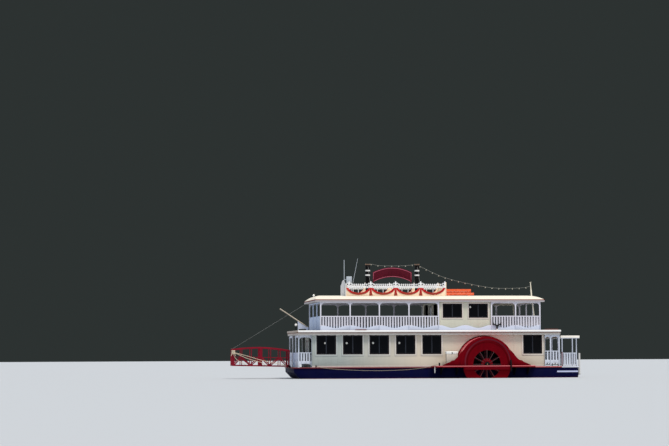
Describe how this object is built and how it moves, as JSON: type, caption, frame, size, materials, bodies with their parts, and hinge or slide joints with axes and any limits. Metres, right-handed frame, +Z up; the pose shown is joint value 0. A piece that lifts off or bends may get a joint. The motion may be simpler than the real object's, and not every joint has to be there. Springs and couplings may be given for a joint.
{
  "type": "paddle steamer",
  "caption": "Two-deck side-wheel river boat with verandahs, arched paddle boxes, roof parapet, slim funnels and a hinged bow gangway.",
  "frame": {"origin": "centreline amidships at the waterline", "axes": "+X aft, +Y starboard, +Z up"},
  "size_m": [27.0306, 8.9, 9.92],
  "materials": {
    "hull_paint": "gloss navy topsides, red below the waterline",
    "sheer_paint": "worn red rubbing strip and dark deck",
    "cream_paint": "satin cream panelling",
    "white_paint": "satin white trim",
    "roof_paint": "weathered cream roof",
    "red_paint": "gloss red",
    "black_paint": "satin black with white bands",
    "window_glass": "dark clear glass in brown frames",
    "door_timber": "varnished brown timber and glass",
    "float_orange": "faded orange",
    "bare_iron": "dark painted iron",
    "rope": "worn natural fibre"
  },
  "bodies": {
    "boat": {"aerial": "white_paint", "aft_mast": "white_paint", "aft_rail_port": "white_paint", "aft_rail_starboard": "white_paint", "bow_boom": "white_paint", "bow_rail_port": "white_paint", "bow_rail_starboard": "white_paint", "cabin_glazing_port": "window_glass", "cabin_glazing_starboard": "window_glass", "cabin_wall_aft": "cream_paint", "cabin_wall_front": "cream_paint", "cabin_wall_port": "cream_paint", "cabin_wall_starboard": "cream_paint", "engine": "bare_iron", "floats": "float_orange", "funnel_aft": "black_paint", "funnel_fore": "black_paint", "hull": "hull_paint", "locker_port": "cream_paint", "locker_starboard": "cream_paint", "main_deck": "sheer_paint", "mooring_line": "rope", "paddle_casing_port": "red_paint", "paddle_casing_starboard": "red_paint", "paddle_face_port": "red_paint", "paddle_face_starboard": "red_paint", "parapet": "white_paint", "roof": "roof_paint", "saloon_glazing_port": "window_glass", "saloon_glazing_starboard": "window_glass", "saloon_wall_aft": "cream_paint", "saloon_wall_front": "cream_paint", "saloon_wall_port": "cream_paint", "saloon_wall_starboard": "cream_paint", "sign_board": "red_paint", "sponson_port": "sheer_paint", "sponson_starboard": "sheer_paint", "stern_fender_port": "white_paint", "stern_fender_starboard": "white_paint", "stern_porch": "white_paint", "swags_port": "red_paint", "swags_starboard": "red_paint", "upper_deck": "white_paint", "upper_rail_aft": "white_paint", "upper_rail_front": "white_paint", "upper_rail_port": "white_paint", "upper_rail_starboard": "white_paint", "valance": "white_paint"},
    "rudder": {"rudder": "bare_iron"},
    "paddle_wheels": {"paddle_wheel_port": "red_paint", "paddle_wheel_starboard": "red_paint", "paddle_shaft": "bare_iron"},
    "gangway": {"gangway": "red_paint"},
    "saloon_door_port": {"saloon_door_port": "door_timber"},
    "saloon_door_starboard": {"saloon_door_starboard": "door_timber"},
    "saloon_door_aft": {"saloon_door_aft": "door_timber"},
    "cabin_door_front": {"cabin_door_front": "door_timber"},
    "cabin_door_aft": {"cabin_door_aft": "door_timber"},
    "locker_lid_port": {"locker_lid_port": "white_paint"},
    "locker_lid_starboard": {"locker_lid_starboard": "white_paint"}
  },
  "joints": [
    {"name": "paddle_spin", "type": "hinge", "parent": "boat", "child": "paddle_wheels", "pos_m": [3.75, 0, 1.05], "axis": [0, 1, 0], "continuous": true},
    {"name": "rudder_turn", "type": "hinge", "parent": "boat", "child": "rudder", "pos_m": [10.25, 0, -0.5], "axis": [0, 0, 1], "range_deg": [-35, 35]},
    {"name": "gangway_lift", "type": "hinge", "parent": "boat", "child": "gangway", "pos_m": [-11.09, 0, 0.96], "axis": [0, 1, 0], "range_deg": [-13, 38]},
    {"name": "saloon_door_port_swing", "type": "hinge", "parent": "boat", "child": "saloon_door_port", "pos_m": [-9.56, -0.747, 0.9], "axis": [0, 0, -1], "range_deg": [0, 95]},
    {"name": "saloon_door_starboard_swing", "type": "hinge", "parent": "boat", "child": "saloon_door_starboard", "pos_m": [-9.56, 0.747, 0.9], "axis": [0, 0, 1], "range_deg": [0, 95]},
    {"name": "saloon_door_aft_swing", "type": "hinge", "parent": "boat", "child": "saloon_door_aft", "pos_m": [8.52, -0.417, 0.9], "axis": [0, 0, 1], "range_deg": [0, 95]},
    {"name": "cabin_door_front_swing", "type": "hinge", "parent": "boat", "child": "cabin_door_front", "pos_m": [0.23, -0.367, 3.7], "axis": [0, 0, -1], "range_deg": [0, 95]},
    {"name": "cabin_door_aft_swing", "type": "hinge", "parent": "boat", "child": "cabin_door_aft", "pos_m": [4.31, -0.367, 3.7], "axis": [0, 0, 1], "range_deg": [0, 95]},
    {"name": "locker_lid_port_lift", "type": "hinge", "parent": "boat", "child": "locker_lid_port", "pos_m": [1.12, -3.46, 1.8403], "axis": [-1, 0, 0], "range_deg": [0, 90]},
    {"name": "locker_lid_starboard_lift", "type": "hinge", "parent": "boat", "child": "locker_lid_starboard", "pos_m": [1.12, 3.46, 1.8403], "axis": [1, 0, 0], "range_deg": [0, 90]}
  ]
}
